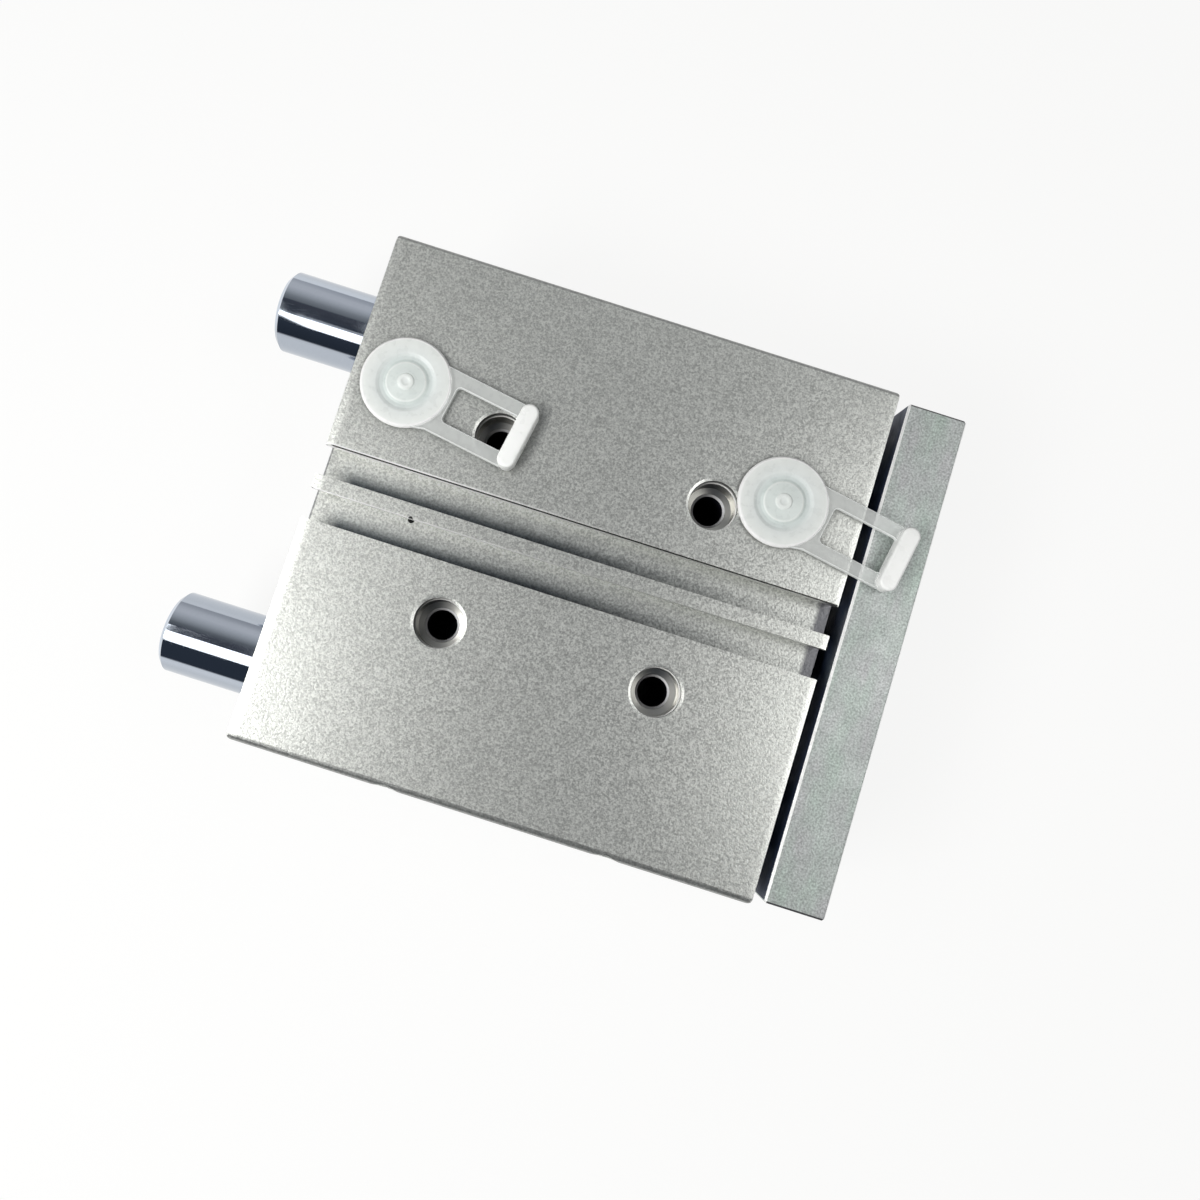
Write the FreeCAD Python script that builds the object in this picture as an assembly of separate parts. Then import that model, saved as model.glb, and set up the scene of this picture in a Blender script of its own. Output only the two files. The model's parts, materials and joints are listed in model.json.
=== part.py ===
import FreeCAD
import Part
import math
import os

# Compact guided pneumatic cylinder with plain-bearing guide, 25 mm bore and 50 mm stroke.
# Frame: millimetres. +X is the direction in which the yoke extends. +Z is the face that
# carries the ports and the sensor slots. The origin is the centre of the pattern of
# mounting holes, on the underside of the housing.

# Working motion
stroke = 50.0
stop_gap = 0.2

# Housing, an extruded block with machined ends
housing_width = 95.0
housing_height = 42.0
long_edge_radius = 1.0
corner_radius = 1.2
end_chamfer = 0.4
hole_chamfer = 0.45
drill_point = 0.6
tool_overrun = 1.0

# Barrel and piston
bore_diameter = 25.0
cap_pocket_diameter = 27.0
end_recess = 2.0
rear_cap_thickness = 6.0
bearing_cap_length = 15.1
nose_diameter = 18.0
cushion_thickness = 1.5
cushion_width = 3.0
piston_diameter = 24.6
piston_head_length = 12.0
spigot_diameter = 18.0
spigot_length = 2.5
piston_land = 1.0
seal_groove_width = 2.2
seal_groove_depth = 2.0
ring_groove_width = 4.0
ring_groove_depth = 2.6
piston_lip_edge = 0.1
piston_lip_land = 0.5
piston_lip_taper = 0.4
piston_lip_back = 0.3
magnet_thickness = 1.4
piston_rod_diameter = 10.0
rod_journal_diameter = 6.0
rod_thread_diameter = 6.0
nut_pocket_diameter = 12.0
nut_pocket_depth = 4.0
nut_width = 10.0
nut_thickness = 3.2

# Bearing cap inserts
rod_bush_wall = 1.0
rod_bush_length = 9.0
rod_seal_diameter = 17.0
rod_seal_length = 4.0
rod_seal_rim = 1.0

# Retaining rings and O-rings
ring_thickness = 1.2
ring_groove_extra = 0.7
ring_band = 2.4
ring_opening = 7.0
ring_eye_diameter = 4.0
ring_eye_hole = 1.7
oring_diameter = 1.3
oring_groove_width = 1.8
oring_sides = 8

# Guide
guide_rod_diameter = 16.0
guide_rod_inset = 13.75
guide_rod_overhang = 21.6
guide_rod_chamfer = 0.8
bush_diameter = 20.0
bush_length = 22.0
rod_return_margin = 2.0
wiper_diameter = 22.0
wiper_depth = 4.0
wiper_recess = 0.4

# Lips that wipe and seal the rods
lip_land = 0.8
lip_relief = 0.8
lip_nose = 0.4
lip_shoulder = 1.4
lip_rise = 0.6

# Yoke plate
yoke_gap = 2.2
yoke_thickness = 11.0
yoke_inset = 1.0
yoke_chamfer = 0.4
rod_seat_depth = 2.0

# Screws of the yoke: outer and centre, low heads with hex sockets
guide_screw_diameter = 8.0
guide_screw_head_diameter = 13.0
guide_screw_head_height = 5.0
guide_screw_length = 18.0
guide_screw_socket = 5.0
rod_screw_diameter = 6.0
rod_screw_head_diameter = 10.0
rod_screw_head_height = 4.0
rod_screw_length = 14.0
rod_screw_socket = 4.0
socket_depth = 2.8
head_recess = 0.5
head_clearance = 0.5
tap_allowance = 3.0

# Housing holes: through holes for the base, tapped holes in one side
hole_pitch_x = 40.0
hole_pitch_y = 34.8
pattern_offset = 1.25
through_diameter = 5.5
head_bore_diameter = 8.6
head_bore_depth = 6.0
centring_diameter = 9.0
centring_depth = 2.1
side_hole_inset = 5.0
side_tap_diameter = 5.0
side_tap_depth = 12.0

# Yoke plate holes for the load
yoke_pitch_y = 40.0
yoke_pitch_z = 20.0
yoke_tap_diameter = 5.0

# Sensor slots
slot_mouth = 5.5
slot_rib = 2.6
slot_undercut = 0.6
slot_lip = 1.8
slot_depth = 5.0

# Air ports and their push-in plugs
port_setback = 2.2
port_land = 0.5
port_side = 21.6
port_diameter = 8.6
port_mouth_chamfer = 0.7
port_depth = 8.0
feed_diameter = 3.0
plug_flange_diameter = 16.5
plug_flange_thickness = 1.1
plug_stem_length = 7.0
plug_stem_wall = 1.0
plug_stem_clearance = 0.1
plug_web = 1.0
plug_recess_diameter = 9.4
plug_recess_depth = 0.5
plug_dome_diameter = 7.0
plug_nub_diameter = 2.8
plug_nub_height = 0.5
plug_edge = 0.25
plug_top_edge = 0.35
plug_dish = 0.1
plug_draft = 0.2
strap_angle = -9.3
strap_reach = 22.4
strap_width = 12.3
strap_rail = 2.7
strap_thickness = 0.8
strap_lift = 0.2
strap_flare = 6.8
strap_web = 0.5
strap_corner = 0.8
pull_bar_width = 3.3
pull_bar_height = 3.1
pull_bar_edge = 0.8

# Clearances on the radius
slide_clearance = 0.04
press_clearance = 0.01
thread_clearance = 0.05
rod_passage = 0.5

# Places that follow from the sizes above
piston_length = piston_head_length + 2 * spigot_length
chamber_length = piston_length + stroke + 2 * (cushion_thickness + stop_gap)
housing_length = 2 * end_recess + rear_cap_thickness + chamber_length + bearing_cap_length
rear_face = -housing_length / 2 - pattern_offset
front_face = rear_face + housing_length
axis_height = housing_height / 2
rear_cap_face = rear_face + end_recess
rear_cap_inner = rear_cap_face + rear_cap_thickness
bearing_cap_face = front_face - end_recess
nose_face = bearing_cap_face - bearing_cap_length
rear_port = rear_cap_inner + port_setback
front_port = nose_face + port_setback
front_shoulder = front_port + feed_diameter / 2 + port_land
piston_rear = rear_cap_inner + cushion_thickness + stop_gap
head_rear = piston_rear + spigot_length
head_front = head_rear + piston_head_length
piston_front = head_front + spigot_length
yoke_inner = front_face + yoke_gap
yoke_front = yoke_inner + yoke_thickness
yoke_width = housing_width - 2 * yoke_inset
yoke_height = housing_height - 2 * yoke_inset
guide_rod_end = rear_face - guide_rod_overhang
rod_seat = yoke_inner + rod_seat_depth
wiper_floor = front_face - wiper_depth
front_bush_rear = wiper_floor - bush_length
inner_bush_rear = guide_rod_end + stroke + rod_return_margin
guide_reach = housing_width / 2 - guide_rod_inset
guide_places = (-guide_reach, guide_reach)
hole_places_x = (-hole_pitch_x / 2, hole_pitch_x / 2)
hole_places_y = (-hole_pitch_y / 2, hole_pitch_y / 2)
port_stem_diameter = port_diameter - 2 * plug_stem_clearance

X = FreeCAD.Vector(1, 0, 0)
Y = FreeCAD.Vector(0, 1, 0)
Z = FreeCAD.Vector(0, 0, 1)


def place(x, y, z):
    return FreeCAD.Vector(x, y, z)


def on_axis(y=0.0):
    return place(0, y, axis_height)


def spun(profile, origin, axis=X, side=Z):
    # A closed profile of (distance along the axis, radius) pairs, turned about the axis.
    points = [origin + axis * along + side * radius for along, radius in profile]
    return Part.Face(Part.makePolygon(points + points[:1])).revolve(origin, axis, 360)


def rod(start, end, diameter, y=0.0):
    return Part.makeCylinder(diameter / 2, end - start, place(start, y, axis_height), X)


def ring(start, end, outer, inner, y=0.0):
    return rod(start, end, outer, y).cut(rod(start, end, inner, y))


def prism(points, push):
    return Part.Face(Part.makePolygon(points + points[:1])).extrude(push)


def is_along(edge, direction):
    run = edge.Vertexes[-1].Point - edge.Vertexes[0].Point
    return run.Length > 0 and abs(run.normalize().dot(FreeCAD.Vector(direction).normalize())) > 0.999


def hexagon(width, start, end, y=0.0):
    reach = width / math.sqrt(3)
    turns = [math.radians(60 * corner) for corner in range(6)]
    points = [place(start, y + reach * math.cos(t), axis_height + reach * math.sin(t)) for t in turns]
    return prism(points, X * (end - start))


# Housing

def housing_block():
    half = housing_width / 2
    base = place(rear_face, -half, 0)
    bar = Part.makeBox(housing_length, housing_width, housing_height, base)
    profile = bar.makeFillet(long_edge_radius, [e for e in bar.Edges if is_along(e, X)])
    plan = bar.makeFillet(corner_radius, [e for e in bar.Edges if is_along(e, Z)])
    side = bar.makeChamfer(end_chamfer, [e for e in bar.Edges if is_along(e, Y)])
    return profile.common(plan).common(side)


def sensor_slot(centre):
    mouth = slot_mouth / 2
    head = mouth + slot_undercut
    outline = [
        (mouth, tool_overrun), (mouth, -slot_lip), (head, -slot_lip), (head, -slot_depth),
        (-head, -slot_depth), (-head, -slot_lip), (-mouth, -slot_lip), (-mouth, tool_overrun),
    ]
    start = rear_face - tool_overrun
    points = [place(start, centre + y, housing_height + z) for y, z in outline]
    return prism(points, X * (housing_length + 2 * tool_overrun))


def mounting_hole(x, y):
    through = through_diameter / 2
    centring = centring_diameter / 2
    head = head_bore_diameter / 2
    over = tool_overrun
    mouth = centring + hole_chamfer + over
    profile = [
        (-over, 0), (-over, mouth), (hole_chamfer, centring), (centring_depth, centring),
        (centring_depth, head), (head_bore_depth, head), (head_bore_depth, through + hole_chamfer),
        (head_bore_depth + hole_chamfer, through), (housing_height - centring_depth, through),
        (housing_height - centring_depth, centring), (housing_height - hole_chamfer, centring),
        (housing_height + over, mouth), (housing_height + over, 0),
    ]
    return spun(profile, place(x, y, housing_height), -Z, X)


def tapped_hole(mouth_place, inward, tap_diameter, depth, side):
    tap = tap_diameter / 2
    centring = centring_diameter / 2
    over = tool_overrun
    profile = [
        (-over, 0), (-over, centring + hole_chamfer + over), (hole_chamfer, centring),
        (centring_depth, centring), (centring_depth, tap), (depth, tap),
        (depth + tap * drill_point, 0),
    ]
    return spun(profile, mouth_place, inward, side)


def port(x):
    bore = port_diameter / 2
    over = tool_overrun
    profile = [
        (-over, 0), (-over, bore + port_mouth_chamfer + over), (port_mouth_chamfer, bore),
        (port_depth, bore), (port_depth + bore * drill_point, 0),
    ]
    mouth = place(x, port_side, housing_height)
    start = mouth - Z * port_depth
    way = on_axis() + X * x - start
    feed = Part.makeCylinder(feed_diameter / 2, way.Length, start, way)
    return spun(profile, mouth, -Z, X).fuse(feed)


def barrel_bore():
    bore = bore_diameter / 2
    pocket = cap_pocket_diameter / 2
    groove = pocket + ring_groove_extra
    front_ring = bearing_cap_face + ring_thickness
    rear_ring = rear_cap_face - ring_thickness
    over = tool_overrun
    mouth = pocket + end_chamfer + over
    profile = [
        (front_face + over, 0), (front_face + over, mouth),
        (front_face - end_chamfer, pocket), (front_ring, pocket), (front_ring, groove),
        (bearing_cap_face, groove), (bearing_cap_face, pocket), (front_shoulder, pocket),
        (front_shoulder, bore), (rear_cap_inner, bore), (rear_cap_inner, pocket),
        (rear_cap_face, pocket), (rear_cap_face, groove), (rear_ring, groove), (rear_ring, pocket),
        (rear_face + end_chamfer, pocket), (rear_face - over, mouth), (rear_face - over, 0),
    ]
    return spun(profile, on_axis())


def guide_bore(y):
    wiper = wiper_diameter / 2
    bush = bush_diameter / 2
    passage = guide_rod_diameter / 2 + rod_passage
    over = tool_overrun
    profile = [
        (front_face + over, 0), (front_face + over, wiper + end_chamfer + over),
        (front_face - end_chamfer, wiper), (wiper_floor, wiper), (wiper_floor, bush),
        (inner_bush_rear, bush), (inner_bush_rear, passage), (rear_face + hole_chamfer, passage),
        (rear_face - over, passage + hole_chamfer + over), (rear_face - over, 0),
    ]
    return spun(profile, on_axis(y))


def housing():
    slot_centre = (slot_rib + slot_mouth) / 2
    side_face = -housing_width / 2
    side_levels = (side_hole_inset, housing_height - side_hole_inset)
    cutters = [barrel_bore(), port(rear_port), port(front_port)]
    cutters += [guide_bore(y) for y in guide_places]
    cutters += [sensor_slot(y) for y in (-slot_centre, slot_centre)]
    cutters += [mounting_hole(x, y) for x in hole_places_x for y in hole_places_y]
    for x in hole_places_x:
        for z in side_levels:
            cutters.append(tapped_hole(place(x, side_face, z), Y, side_tap_diameter, side_tap_depth, X))
    body = housing_block()
    for cutter in cutters:
        body = body.cut(cutter)
    return body


# Ends of the barrel

def oring_groove_profile(centre, radius):
    half = oring_groove_width / 2
    floor = radius - oring_diameter
    return [(centre - half, radius), (centre - half, floor), (centre + half, floor), (centre + half, radius)]


def oring(centre):
    # The cord is squeezed in its groove, so its section is drawn with flats.
    thick = oring_diameter / 2 - press_clearance
    middle = cap_pocket_diameter / 2 - press_clearance - oring_diameter / 2
    turns = [2 * math.pi * (side + 0.5) / oring_sides for side in range(oring_sides)]
    reach = thick / math.cos(math.pi / oring_sides)
    return spun([(centre + reach * math.cos(t), middle + reach * math.sin(t)) for t in turns], on_axis())


def rear_seal_place():
    return rear_cap_face + rear_cap_thickness / 2


def front_seal_place():
    return (bearing_cap_face + front_shoulder) / 2


def rear_end_cap():
    edge = cap_pocket_diameter / 2 - press_clearance
    bevel = hole_chamfer
    profile = [(rear_cap_face, 0), (rear_cap_face, edge - bevel), (rear_cap_face + bevel, edge)]
    profile += oring_groove_profile(rear_seal_place(), edge)
    profile += [(rear_cap_inner, edge), (rear_cap_inner, 0)]
    return spun(profile, on_axis())


def front_bearing_cap():
    edge = cap_pocket_diameter / 2 - press_clearance
    nose = nose_diameter / 2
    bush = piston_rod_diameter / 2 + rod_bush_wall
    seal = rod_seal_diameter / 2
    passage = piston_rod_diameter / 2 + hole_chamfer
    bush_end = nose_face + rod_bush_length
    seal_floor = bearing_cap_face - rod_seal_length
    profile = [(nose_face, bush), (nose_face, nose), (front_shoulder, nose), (front_shoulder, edge)]
    profile += oring_groove_profile(front_seal_place(), edge)
    profile += [
        (bearing_cap_face - hole_chamfer, edge), (bearing_cap_face, edge - hole_chamfer),
        (bearing_cap_face, seal), (seal_floor, seal), (seal_floor, passage),
        (bush_end, passage), (bush_end, bush),
    ]
    return spun(profile, on_axis())


def rod_bush():
    outer = piston_rod_diameter + 2 * (rod_bush_wall - press_clearance)
    inner = piston_rod_diameter + 2 * slide_clearance
    return ring(nose_face, nose_face + rod_bush_length, outer, inner)


def wiper_profile(floor, face, outer, lip, rim):
    # A ring on its floor, with a lip that rises inside the radius rim to the ring's face.
    relief = lip + lip_relief
    bed = face - lip_rise
    return [
        (floor, relief), (floor, outer), (bed, outer), (bed, rim), (face, lip + lip_nose), (face, lip),
        (face - lip_land, lip), (face - lip_land - lip_relief, relief),
    ]


def rod_seal():
    # The wiping lip faces out and a sealing lip faces the chamber.
    outer = rod_seal_diameter / 2 - press_clearance
    lip = piston_rod_diameter / 2 + slide_clearance
    floor = bearing_cap_face - rod_seal_length
    profile = wiper_profile(floor, bearing_cap_face, outer, lip, lip + rod_seal_rim)
    profile += [
        (floor + 2 * lip_relief, lip + lip_relief), (floor + lip_relief, lip), (floor + lip_nose, lip),
    ]
    return spun(profile, on_axis())


def retaining_ring(start):
    # An internal ring, open at the bottom, with an eye at each end for the pliers.
    outer = cap_pocket_diameter / 2 + ring_groove_extra - press_clearance
    inner = outer - ring_band
    band = ring(start, start + ring_thickness, 2 * outer, 2 * inner)
    gap = Part.makeBox(
        ring_thickness, ring_opening, outer, place(start, -ring_opening / 2, axis_height - outer))
    band = band.cut(gap)
    eye_swing = math.asin((ring_opening + ring_eye_diameter) / 2 / outer)
    eye_reach = cap_pocket_diameter / 2 - ring_eye_diameter / 2 - hole_chamfer
    for turn in (-1, 1):
        y = turn * eye_reach * math.sin(eye_swing)
        z = axis_height - eye_reach * math.cos(eye_swing)
        eye = Part.makeCylinder(ring_eye_diameter / 2, ring_thickness, place(start, y, z), X)
        hole = Part.makeCylinder(ring_eye_hole / 2, ring_thickness, place(start, y, z), X)
        band = band.fuse(eye).cut(hole)
    return band.removeSplitter()


def cushion(start):
    outer = spigot_diameter - hole_chamfer
    return ring(start, start + cushion_thickness, outer, outer - 2 * cushion_width)


# Guide

def guide_bush(start, y):
    outer = bush_diameter - 2 * press_clearance
    inner = guide_rod_diameter + 2 * slide_clearance
    return ring(start, start + bush_length, outer, inner, y)


def guide_wiper(y):
    outer = wiper_diameter / 2 - press_clearance
    lip = guide_rod_diameter / 2 + slide_clearance
    face = front_face - wiper_recess
    return spun(wiper_profile(wiper_floor, face, outer, lip, lip + lip_shoulder), on_axis(y))


def guide_rod(y):
    radius = guide_rod_diameter / 2
    tap = guide_screw_diameter / 2 + thread_clearance
    tap_end = rod_seat - guide_screw_length + screw_grip(guide_screw_head_height) - tap_allowance
    bevel = guide_rod_chamfer
    profile = [
        (guide_rod_end, 0), (guide_rod_end, radius - bevel), (guide_rod_end + bevel, radius),
        (rod_seat - hole_chamfer, radius), (rod_seat, radius - hole_chamfer), (rod_seat, tap),
        (tap_end, tap), (tap_end - tap * drill_point, 0),
    ]
    return spun(profile, on_axis(y))


# Yoke

def screw_grip(head_height):
    # Metal of the plate left between the head's bed and the seat of the rod.
    return yoke_thickness - rod_seat_depth - head_height - head_recess


def screw_bed(head_height):
    return yoke_front - head_recess - head_height


def screw_hole(y, diameter, head_diameter, head_height, seat_diameter):
    shank = diameter / 2 + thread_clearance
    head = (head_diameter + head_clearance) / 2
    seat = seat_diameter / 2 + press_clearance
    bed = screw_bed(head_height)
    over = tool_overrun
    profile = [
        (yoke_inner - over, 0), (yoke_inner - over, seat), (rod_seat, seat), (rod_seat, shank),
        (bed, shank), (bed, head), (yoke_front - end_chamfer, head),
        (yoke_front + over, head + end_chamfer + over), (yoke_front + over, 0),
    ]
    return spun(profile, on_axis(y))


def yoke_tapped_hole(y, z):
    tap = yoke_tap_diameter / 2
    centring = centring_diameter / 2
    over = tool_overrun
    profile = [
        (-over, 0), (-over, centring + hole_chamfer + over), (hole_chamfer, centring),
        (centring_depth, centring), (centring_depth, tap), (yoke_thickness - hole_chamfer, tap),
        (yoke_thickness + over, tap + hole_chamfer + over), (yoke_thickness + over, 0),
    ]
    return spun(profile, place(yoke_front, y, z), -X, Z)


def yoke_plate():
    base = place(yoke_inner, -yoke_width / 2, yoke_inset)
    plate = Part.makeBox(yoke_thickness, yoke_width, yoke_height, base)
    plate = plate.makeChamfer(yoke_chamfer, plate.Edges)
    cutters = [
        screw_hole(y, guide_screw_diameter, guide_screw_head_diameter, guide_screw_head_height,
                   guide_rod_diameter)
        for y in guide_places
    ]
    cutters.append(screw_hole(0.0, rod_screw_diameter, rod_screw_head_diameter, rod_screw_head_height,
                              piston_rod_diameter))
    for y in (-yoke_pitch_y / 2, yoke_pitch_y / 2):
        for z in (axis_height - yoke_pitch_z / 2, axis_height + yoke_pitch_z / 2):
            cutters.append(yoke_tapped_hole(y, z))
    for cutter in cutters:
        plate = plate.cut(cutter)
    return plate


def low_head_screw(y, diameter, length, head_diameter, head_height, socket):
    bed = screw_bed(head_height)
    top = bed + head_height
    head = head_diameter / 2
    shank = diameter / 2
    bevel = hole_chamfer
    profile = [
        (bed - length, 0), (bed - length, shank - bevel), (bed - length + bevel, shank), (bed, shank),
        (bed, head), (top - bevel, head), (top, head - bevel), (top, 0),
    ]
    return spun(profile, on_axis(y)).cut(hexagon(socket, top - socket_depth, top + tool_overrun, y))


def guide_rod_screws():
    return Part.makeCompound([
        low_head_screw(y, guide_screw_diameter, guide_screw_length, guide_screw_head_diameter,
                       guide_screw_head_height, guide_screw_socket)
        for y in guide_places
    ])


def piston_rod_screw():
    return low_head_screw(0.0, rod_screw_diameter, rod_screw_length, rod_screw_head_diameter,
                          rod_screw_head_height, rod_screw_socket)


# Piston and piston rod

def nut_seat():
    return piston_rear + nut_pocket_depth


def piston_rod():
    radius = piston_rod_diameter / 2
    journal = rod_journal_diameter / 2
    tap = rod_thread_diameter / 2 + thread_clearance
    tap_end = rod_seat - rod_screw_length + screw_grip(rod_screw_head_height) - tap_allowance
    tail = nut_seat() - nut_thickness - stop_gap
    bevel = hole_chamfer
    profile = [
        (tail, 0), (tail, journal - bevel), (tail + bevel, journal), (piston_front, journal),
        (piston_front, radius), (rod_seat - bevel, radius), (rod_seat, radius - bevel), (rod_seat, tap),
        (tap_end, tap), (tap_end - tap * drill_point, 0),
    ]
    return spun(profile, on_axis())


def seal_grooves():
    step = piston_land + seal_groove_width
    return (head_rear + piston_land, head_front - step)


def ring_groove():
    return (head_rear + head_front - ring_groove_width) / 2


def piston():
    edge = piston_diameter / 2
    spigot = spigot_diameter / 2
    journal = rod_journal_diameter / 2 + press_clearance
    pocket = nut_pocket_diameter / 2
    grooves = [(start, seal_groove_width, seal_groove_depth) for start in seal_grooves()]
    grooves.insert(1, (ring_groove(), ring_groove_width, ring_groove_depth))
    profile = [(piston_rear, pocket), (piston_rear, spigot), (head_rear, spigot), (head_rear, edge)]
    for start, width, depth in grooves:
        end = start + width
        profile += [(start, edge), (start, edge - depth), (end, edge - depth), (end, edge)]
    profile += [
        (head_front, edge), (head_front, spigot), (piston_front, spigot), (piston_front, journal),
        (nut_seat(), journal), (nut_seat(), pocket),
    ]
    return spun(profile, on_axis())


def piston_seals():
    foot = piston_diameter / 2 - seal_groove_depth + press_clearance
    lip = bore_diameter / 2 - slide_clearance
    back = piston_diameter / 2 - piston_lip_back
    land = piston_lip_land
    gap = press_clearance
    seals = []
    for start, turn in zip(seal_grooves(), (1, -1)):
        near = start + gap if turn > 0 else start + seal_groove_width - gap
        far = near + turn * (seal_groove_width - 2 * gap)
        profile = [
            (near, foot), (near, lip - piston_lip_edge), (near + turn * land, lip),
            (near + turn * (land + piston_lip_taper), back), (far, back), (far, foot),
        ]
        seals.append(spun(profile, on_axis()))
    return Part.makeCompound(seals)


def piston_magnet():
    floor = piston_diameter - 2 * ring_groove_depth + 2 * press_clearance
    start = ring_groove() + press_clearance
    end = ring_groove() + ring_groove_width - press_clearance
    return ring(start, end, floor + 2 * magnet_thickness, floor)


def wear_ring():
    inner = piston_diameter - 2 * ring_groove_depth + 2 * magnet_thickness + 4 * press_clearance
    start = ring_groove() + press_clearance
    end = ring_groove() + ring_groove_width - press_clearance
    return ring(start, end, bore_diameter - 2 * slide_clearance, inner)


def piston_nut():
    seat = nut_seat()
    hole = rod(seat - nut_thickness, seat, rod_journal_diameter + 2 * thread_clearance)
    return hexagon(nut_width, seat - nut_thickness, seat).cut(hole)


# Port plugs

def plug_button(x):
    # Flange, hollow stem and stepped top, turned about the axis of the port.
    flange = plug_flange_diameter / 2
    stem = port_stem_diameter / 2
    hollow = stem - plug_stem_wall
    recess = plug_recess_diameter / 2
    dome = plug_dome_diameter / 2
    nub = plug_nub_diameter / 2
    top = plug_flange_thickness
    floor = top - plug_recess_depth
    lead = plug_stem_wall / 2
    profile = [
        (-plug_stem_length, hollow), (-plug_stem_length, stem - lead), (lead - plug_stem_length, stem),
        (0, stem), (0, flange - plug_edge), (plug_edge, flange), (top - plug_top_edge, flange),
        (top, flange - plug_top_edge), (top - plug_dish, recess + plug_draft), (floor, recess),
        (floor, dome + plug_draft), (top, dome), (top, nub + plug_dish),
        (top + plug_nub_height, nub), (top + plug_nub_height, nub / 2), (top, nub / 4), (top, 0),
        (top - plug_web, 0), (top - plug_web, hollow),
    ]
    return spun(profile, place(x, port_side, housing_height), Z, X)


def pull_bar(x):
    length = strap_width - pull_bar_width
    half = pull_bar_width / 2
    low = housing_height + strap_lift
    corner = place(x + strap_reach - half, port_side - length / 2, low)
    bar = Part.makeBox(pull_bar_width, length, pull_bar_height, corner)
    for y in (port_side - length / 2, port_side + length / 2):
        bar = bar.fuse(Part.makeCylinder(half, pull_bar_height, place(x + strap_reach, y, low)))
    bar = bar.removeSplitter()
    return bar.makeChamfer(pull_bar_edge, [e for e in bar.Edges if is_level(e, low + pull_bar_height)])


def is_level(edge, height):
    box = edge.BoundBox
    return abs(box.ZMin - height) < 1e-6 and abs(box.ZMax - height) < 1e-6


def strap(x):
    # Two rails around a slot with rounded corners, flared into the flange along one edge.
    low = housing_height + strap_lift
    half = strap_width / 2
    root = plug_flange_diameter / 2 - plug_top_edge
    turn = math.atan2(half, strap_flare) + math.acos(root / math.hypot(half, strap_flare))
    outline = [
        (0, 0), (root * math.cos(turn), -root * math.sin(turn)), (strap_flare, -half),
        (strap_reach, -half), (strap_reach, half), (0, half),
    ]
    plate = prism([place(x + u, port_side + v, low) for u, v in outline], Z * strap_thickness)
    start = plug_flange_diameter / 2 + strap_web
    width = strap_width - 2 * strap_rail
    corner = place(x + start, port_side - width / 2, low)
    slot = Part.makeBox(strap_reach - start, width, strap_thickness, corner)
    slot = slot.makeFillet(strap_corner, [e for e in slot.Edges if is_along(e, Z)])
    return plate.cut(slot)


def port_plug(x):
    plug = plug_button(x).fuse([strap(x), pull_bar(x)]).removeSplitter()
    plug.rotate(place(x, port_side, 0), Z, strap_angle)
    return plug


def nodes():
    made = {
        "housing": housing(),
        "front_bearing_cap": front_bearing_cap(),
        "front_cap_oring": oring(front_seal_place()),
        "front_retaining_ring": retaining_ring(bearing_cap_face),
        "rod_bush": rod_bush(),
        "rod_seal": rod_seal(),
        "front_cushion": cushion(nose_face - cushion_thickness),
        "rear_end_cap": rear_end_cap(),
        "rear_cap_oring": oring(rear_seal_place()),
        "rear_retaining_ring": retaining_ring(rear_cap_face - ring_thickness),
        "rear_cushion": cushion(rear_cap_inner),
        "yoke_plate": yoke_plate(),
        "guide_rod_screws": guide_rod_screws(),
        "piston_rod_screw": piston_rod_screw(),
        "piston_rod": piston_rod(),
        "piston": piston(),
        "piston_seals": piston_seals(),
        "piston_magnet": piston_magnet(),
        "wear_ring": wear_ring(),
        "piston_nut": piston_nut(),
        "rear_port_plug": port_plug(rear_port),
        "front_port_plug": port_plug(front_port),
    }
    for side, y in zip(("right", "left"), guide_places):
        made[side + "_guide_rod"] = guide_rod(y)
        made[side + "_front_bush"] = guide_bush(front_bush_rear, y)
        made[side + "_inner_bush"] = guide_bush(inner_bush_rear, y)
        made[side + "_wiper"] = guide_wiper(y)
    return made


os.makedirs("parts", exist_ok=True)
for name, shape in nodes().items():
    shape.exportStep("parts/" + name + ".step")
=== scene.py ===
import bmesh
import bpy
import json
import math
from mathutils import Matrix, Vector


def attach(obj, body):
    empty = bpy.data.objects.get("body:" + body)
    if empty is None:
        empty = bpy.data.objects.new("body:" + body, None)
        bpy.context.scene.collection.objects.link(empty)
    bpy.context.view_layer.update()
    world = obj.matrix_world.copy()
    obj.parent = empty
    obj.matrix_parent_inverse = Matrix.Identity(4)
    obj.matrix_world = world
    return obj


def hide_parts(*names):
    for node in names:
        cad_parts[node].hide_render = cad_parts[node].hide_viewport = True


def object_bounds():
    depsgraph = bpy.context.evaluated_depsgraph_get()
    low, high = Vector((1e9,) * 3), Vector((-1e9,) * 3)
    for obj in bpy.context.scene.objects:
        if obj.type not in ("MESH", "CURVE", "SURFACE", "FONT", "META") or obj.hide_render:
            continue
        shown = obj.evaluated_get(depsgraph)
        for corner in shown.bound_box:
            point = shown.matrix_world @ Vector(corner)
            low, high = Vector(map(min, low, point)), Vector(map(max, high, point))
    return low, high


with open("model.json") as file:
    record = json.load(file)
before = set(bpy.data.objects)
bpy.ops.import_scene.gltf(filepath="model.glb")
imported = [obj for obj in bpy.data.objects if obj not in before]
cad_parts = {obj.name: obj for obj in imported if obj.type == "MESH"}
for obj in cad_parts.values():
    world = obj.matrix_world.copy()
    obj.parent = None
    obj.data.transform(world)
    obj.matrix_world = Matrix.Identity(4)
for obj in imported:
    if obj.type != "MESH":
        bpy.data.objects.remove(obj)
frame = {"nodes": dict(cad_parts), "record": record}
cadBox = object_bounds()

mm = 0.001
scene = bpy.context.scene


def millimetres(*values):
    return Vector(values) * mm


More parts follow.
